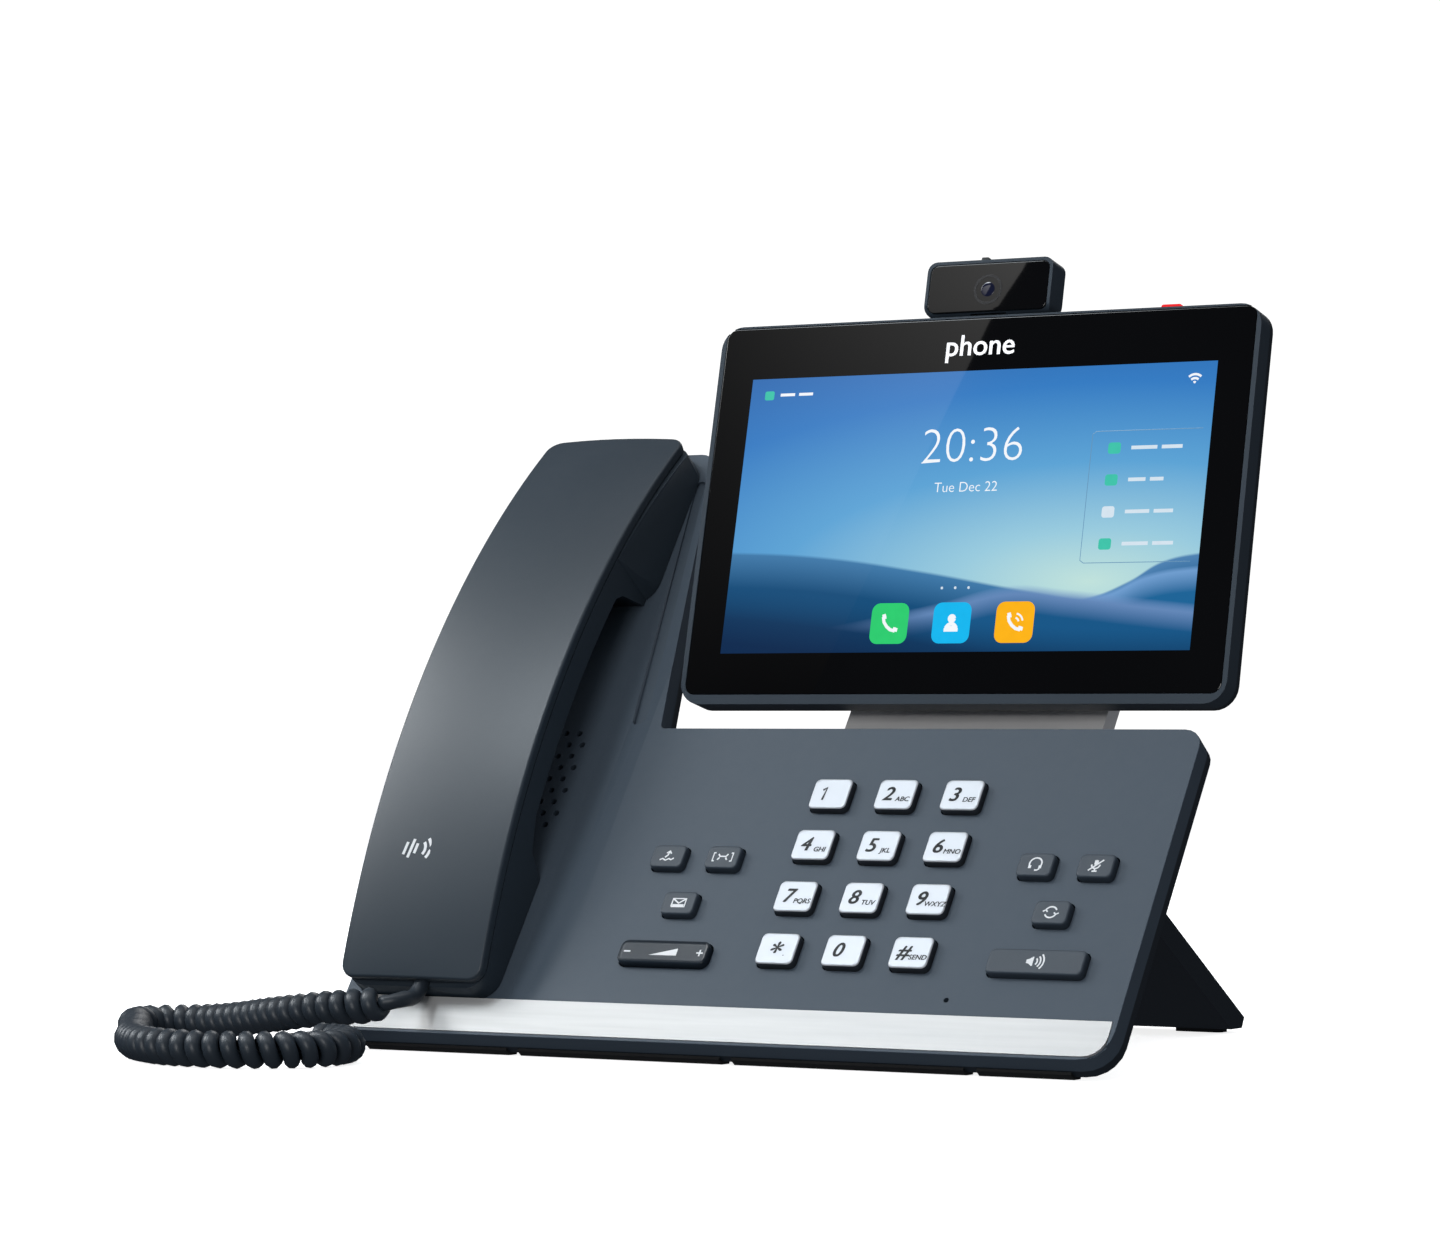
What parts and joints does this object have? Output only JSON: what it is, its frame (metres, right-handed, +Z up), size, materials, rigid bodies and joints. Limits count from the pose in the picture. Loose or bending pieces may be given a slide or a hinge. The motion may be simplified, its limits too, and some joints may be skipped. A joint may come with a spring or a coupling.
{
  "type": "desk telephone",
  "caption": "Desk video phone: leaning slate base with keypad, tilting touch display with plug-in camera, corded handset in its cradle and a kickstand behind.",
  "frame": {"origin": "centre of the phone's own footprint on the desk, without the cord: bottom centre of its bounding box", "axes": "+X across to the phone's right as its user sees it, +Y away from the user to the back, +Z up"},
  "size_m": [0.3351, 0.2913, 0.236],
  "materials": {
    "slate_shell": "matte, moulded in slate blue-grey",
    "slate_dark_shell": "matte, fine grain",
    "bright_strip": "brushed, near white",
    "silicone_mat": "soft matte",
    "circuit_board": "green solder mask",
    "speaker_black": "matte",
    "jack_metal": "satin",
    "jack_black": "matte",
    "satin_metal": "satin silver",
    "plain_steel": "zinc plated",
    "foot_rubber": "matte",
    "black_plastic": "matte",
    "dial_silver": "silver-white, satin",
    "side_key_slate": "satin",
    "rocker_gloss": "glossy",
    "dark_glass": "glossy, black backed",
    "lit_panel": "lit picture",
    "red_light": "red lens",
    "plug_plastic": "satin",
    "cord_jacket": "semi-matte jacket"
  },
  "bodies": {
    "base": {"base_front_cover": "slate_shell", "base_rear_cover": "slate_dark_shell", "trim_strip": "bright_strip", "keypad_mat": "silicone_mat", "keypad_board": "circuit_board", "main_board": "circuit_board", "loudspeaker": "speaker_black", "network_jacks": "jack_metal", "cord_jacks": "jack_black", "power_jack": "jack_black", "neck_bracket": "satin_metal", "base_feet": "foot_rubber", "case_screws": "plain_steel", "cradle_tab": "slate_shell", "cord_curl": "cord_jacket", "cord_tail_base": "cord_jacket", "base_plug": "plug_plastic"},
    "key_1": {"key_1": "dial_silver"},
    "key_2": {"key_2": "dial_silver"},
    "key_3": {"key_3": "dial_silver"},
    "key_4": {"key_4": "dial_silver"},
    "key_5": {"key_5": "dial_silver"},
    "key_6": {"key_6": "dial_silver"},
    "key_7": {"key_7": "dial_silver"},
    "key_8": {"key_8": "dial_silver"},
    "key_9": {"key_9": "dial_silver"},
    "key_star": {"key_star": "dial_silver"},
    "key_0": {"key_0": "dial_silver"},
    "key_hash": {"key_hash": "dial_silver"},
    "key_transfer": {"key_transfer": "side_key_slate"},
    "key_conference": {"key_conference": "side_key_slate"},
    "key_message": {"key_message": "side_key_slate"},
    "key_headset": {"key_headset": "side_key_slate"},
    "key_mute": {"key_mute": "side_key_slate"},
    "key_redial": {"key_redial": "side_key_slate"},
    "key_speaker": {"key_speaker": "side_key_slate"},
    "volume_rocker": {"volume_rocker": "rocker_gloss"},
    "hook_plunger": {"hook_plunger": "black_plastic"},
    "display": {"display_frame": "slate_shell", "display_glass": "dark_glass", "lcd_panel": "lit_panel", "display_board": "circuit_board", "display_rear_cover": "slate_dark_shell", "message_light": "red_light", "camera_plug": "slate_dark_shell", "tilt_pin": "plain_steel"},
    "camera": {"camera_housing": "slate_shell", "camera_window": "dark_glass", "camera_lens": "dark_glass"},
    "shutter": {"shutter_slider": "black_plastic"},
    "kickstand": {"kickstand": "slate_dark_shell", "stand_pins": "plain_steel", "stand_feet": "foot_rubber"},
    "handset": {"handset_outer_shell": "slate_shell", "handset_inner_shell": "slate_shell", "ear_speaker": "speaker_black", "mouth_microphone": "speaker_black", "handset_ballast": "plain_steel", "handset_plug": "plug_plastic", "cord_tail_handset": "cord_jacket"}
  },
  "joints": [
    {"name": "key_1_press", "type": "slide", "parent": "base", "child": "key_1", "axis": [0, 0.8121, -0.5835], "range_m": [0, 0.0012], "stiffness_N_per_m": 400, "springref_m": -0.0012},
    {"name": "key_2_press", "type": "slide", "parent": "base", "child": "key_2", "axis": [0, 0.8121, -0.5835], "range_m": [0, 0.0012], "stiffness_N_per_m": 400, "springref_m": -0.0012},
    {"name": "key_3_press", "type": "slide", "parent": "base", "child": "key_3", "axis": [0, 0.8121, -0.5835], "range_m": [0, 0.0012], "stiffness_N_per_m": 400, "springref_m": -0.0012},
    {"name": "key_4_press", "type": "slide", "parent": "base", "child": "key_4", "axis": [0, 0.8121, -0.5835], "range_m": [0, 0.0012], "stiffness_N_per_m": 400, "springref_m": -0.0012},
    {"name": "key_5_press", "type": "slide", "parent": "base", "child": "key_5", "axis": [0, 0.8121, -0.5835], "range_m": [0, 0.0012], "stiffness_N_per_m": 400, "springref_m": -0.0012},
    {"name": "key_6_press", "type": "slide", "parent": "base", "child": "key_6", "axis": [0, 0.8121, -0.5835], "range_m": [0, 0.0012], "stiffness_N_per_m": 400, "springref_m": -0.0012},
    {"name": "key_7_press", "type": "slide", "parent": "base", "child": "key_7", "axis": [0, 0.8121, -0.5835], "range_m": [0, 0.0012], "stiffness_N_per_m": 400, "springref_m": -0.0012},
    {"name": "key_8_press", "type": "slide", "parent": "base", "child": "key_8", "axis": [0, 0.8121, -0.5835], "range_m": [0, 0.0012], "stiffness_N_per_m": 400, "springref_m": -0.0012},
    {"name": "key_9_press", "type": "slide", "parent": "base", "child": "key_9", "axis": [0, 0.8121, -0.5835], "range_m": [0, 0.0012], "stiffness_N_per_m": 400, "springref_m": -0.0012},
    {"name": "key_star_press", "type": "slide", "parent": "base", "child": "key_star", "axis": [0, 0.8121, -0.5835], "range_m": [0, 0.0012], "stiffness_N_per_m": 400, "springref_m": -0.0012},
    {"name": "key_0_press", "type": "slide", "parent": "base", "child": "key_0", "axis": [0, 0.8121, -0.5835], "range_m": [0, 0.0012], "stiffness_N_per_m": 400, "springref_m": -0.0012},
    {"name": "key_hash_press", "type": "slide", "parent": "base", "child": "key_hash", "axis": [0, 0.8121, -0.5835], "range_m": [0, 0.0012], "stiffness_N_per_m": 400, "springref_m": -0.0012},
    {"name": "key_transfer_press", "type": "slide", "parent": "base", "child": "key_transfer", "axis": [0, 0.8121, -0.5835], "range_m": [0, 0.0012], "stiffness_N_per_m": 400, "springref_m": -0.0012},
    {"name": "key_conference_press", "type": "slide", "parent": "base", "child": "key_conference", "axis": [0, 0.8121, -0.5835], "range_m": [0, 0.0012], "stiffness_N_per_m": 400, "springref_m": -0.0012},
    {"name": "key_message_press", "type": "slide", "parent": "base", "child": "key_message", "axis": [0, 0.8121, -0.5835], "range_m": [0, 0.0012], "stiffness_N_per_m": 400, "springref_m": -0.0012},
    {"name": "key_headset_press", "type": "slide", "parent": "base", "child": "key_headset", "axis": [0, 0.8121, -0.5835], "range_m": [0, 0.0012], "stiffness_N_per_m": 400, "springref_m": -0.0012},
    {"name": "key_mute_press", "type": "slide", "parent": "base", "child": "key_mute", "axis": [0, 0.8121, -0.5835], "range_m": [0, 0.0012], "stiffness_N_per_m": 400, "springref_m": -0.0012},
    {"name": "key_redial_press", "type": "slide", "parent": "base", "child": "key_redial", "axis": [0, 0.8121, -0.5835], "range_m": [0, 0.0012], "stiffness_N_per_m": 400, "springref_m": -0.0012},
    {"name": "key_speaker_press", "type": "slide", "parent": "base", "child": "key_speaker", "axis": [0, 0.8121, -0.5835], "range_m": [0, 0.0012], "stiffness_N_per_m": 400, "springref_m": -0.0012},
    {"name": "volume_rocker_tilt", "type": "hinge", "parent": "base", "child": "volume_rocker", "pos_m": [-0.02335, -0.08597, 0.02919], "axis": [0, 0.5835, 0.8121], "range_deg": [-3.5, 3.5], "stiffness_Nm_per_rad": 0.5},
    {"name": "hook_rise", "type": "slide", "parent": "base", "child": "hook_plunger", "axis": [0, -0.8121, 0.5835], "range_m": [0, 0.002]},
    {"name": "display_tilt", "type": "hinge", "parent": "base", "child": "display", "pos_m": [0.04145, -0.01222, 0.12582], "axis": [1, 0, 0], "range_deg": [-32, 6]},
    {"name": "camera_tilt", "type": "hinge", "parent": "display", "child": "camera", "pos_m": [0.04105, -0.00496, 0.2215], "axis": [1, 0, 0], "range_deg": [-10, 20]},
    {"name": "shutter_slide", "type": "slide", "parent": "camera", "child": "shutter", "axis": [1, 0, 0], "range_m": [-0.0032, 0]},
    {"name": "kickstand_hinge", "type": "hinge", "parent": "base", "child": "kickstand", "pos_m": [-0.00305, -0.02948, 0.07936], "axis": [1, 0, 0], "range_deg": [0, 13]},
    {"name": "handset_lift", "type": "slide", "parent": "base", "child": "handset", "axis": [0, -0.8121, 0.5835], "range_m": [0, 0.06]}
  ],
  "couplings": [
    {"joint": "hook_rise", "follows": "handset_lift", "ratio": 0.0333}
  ]
}
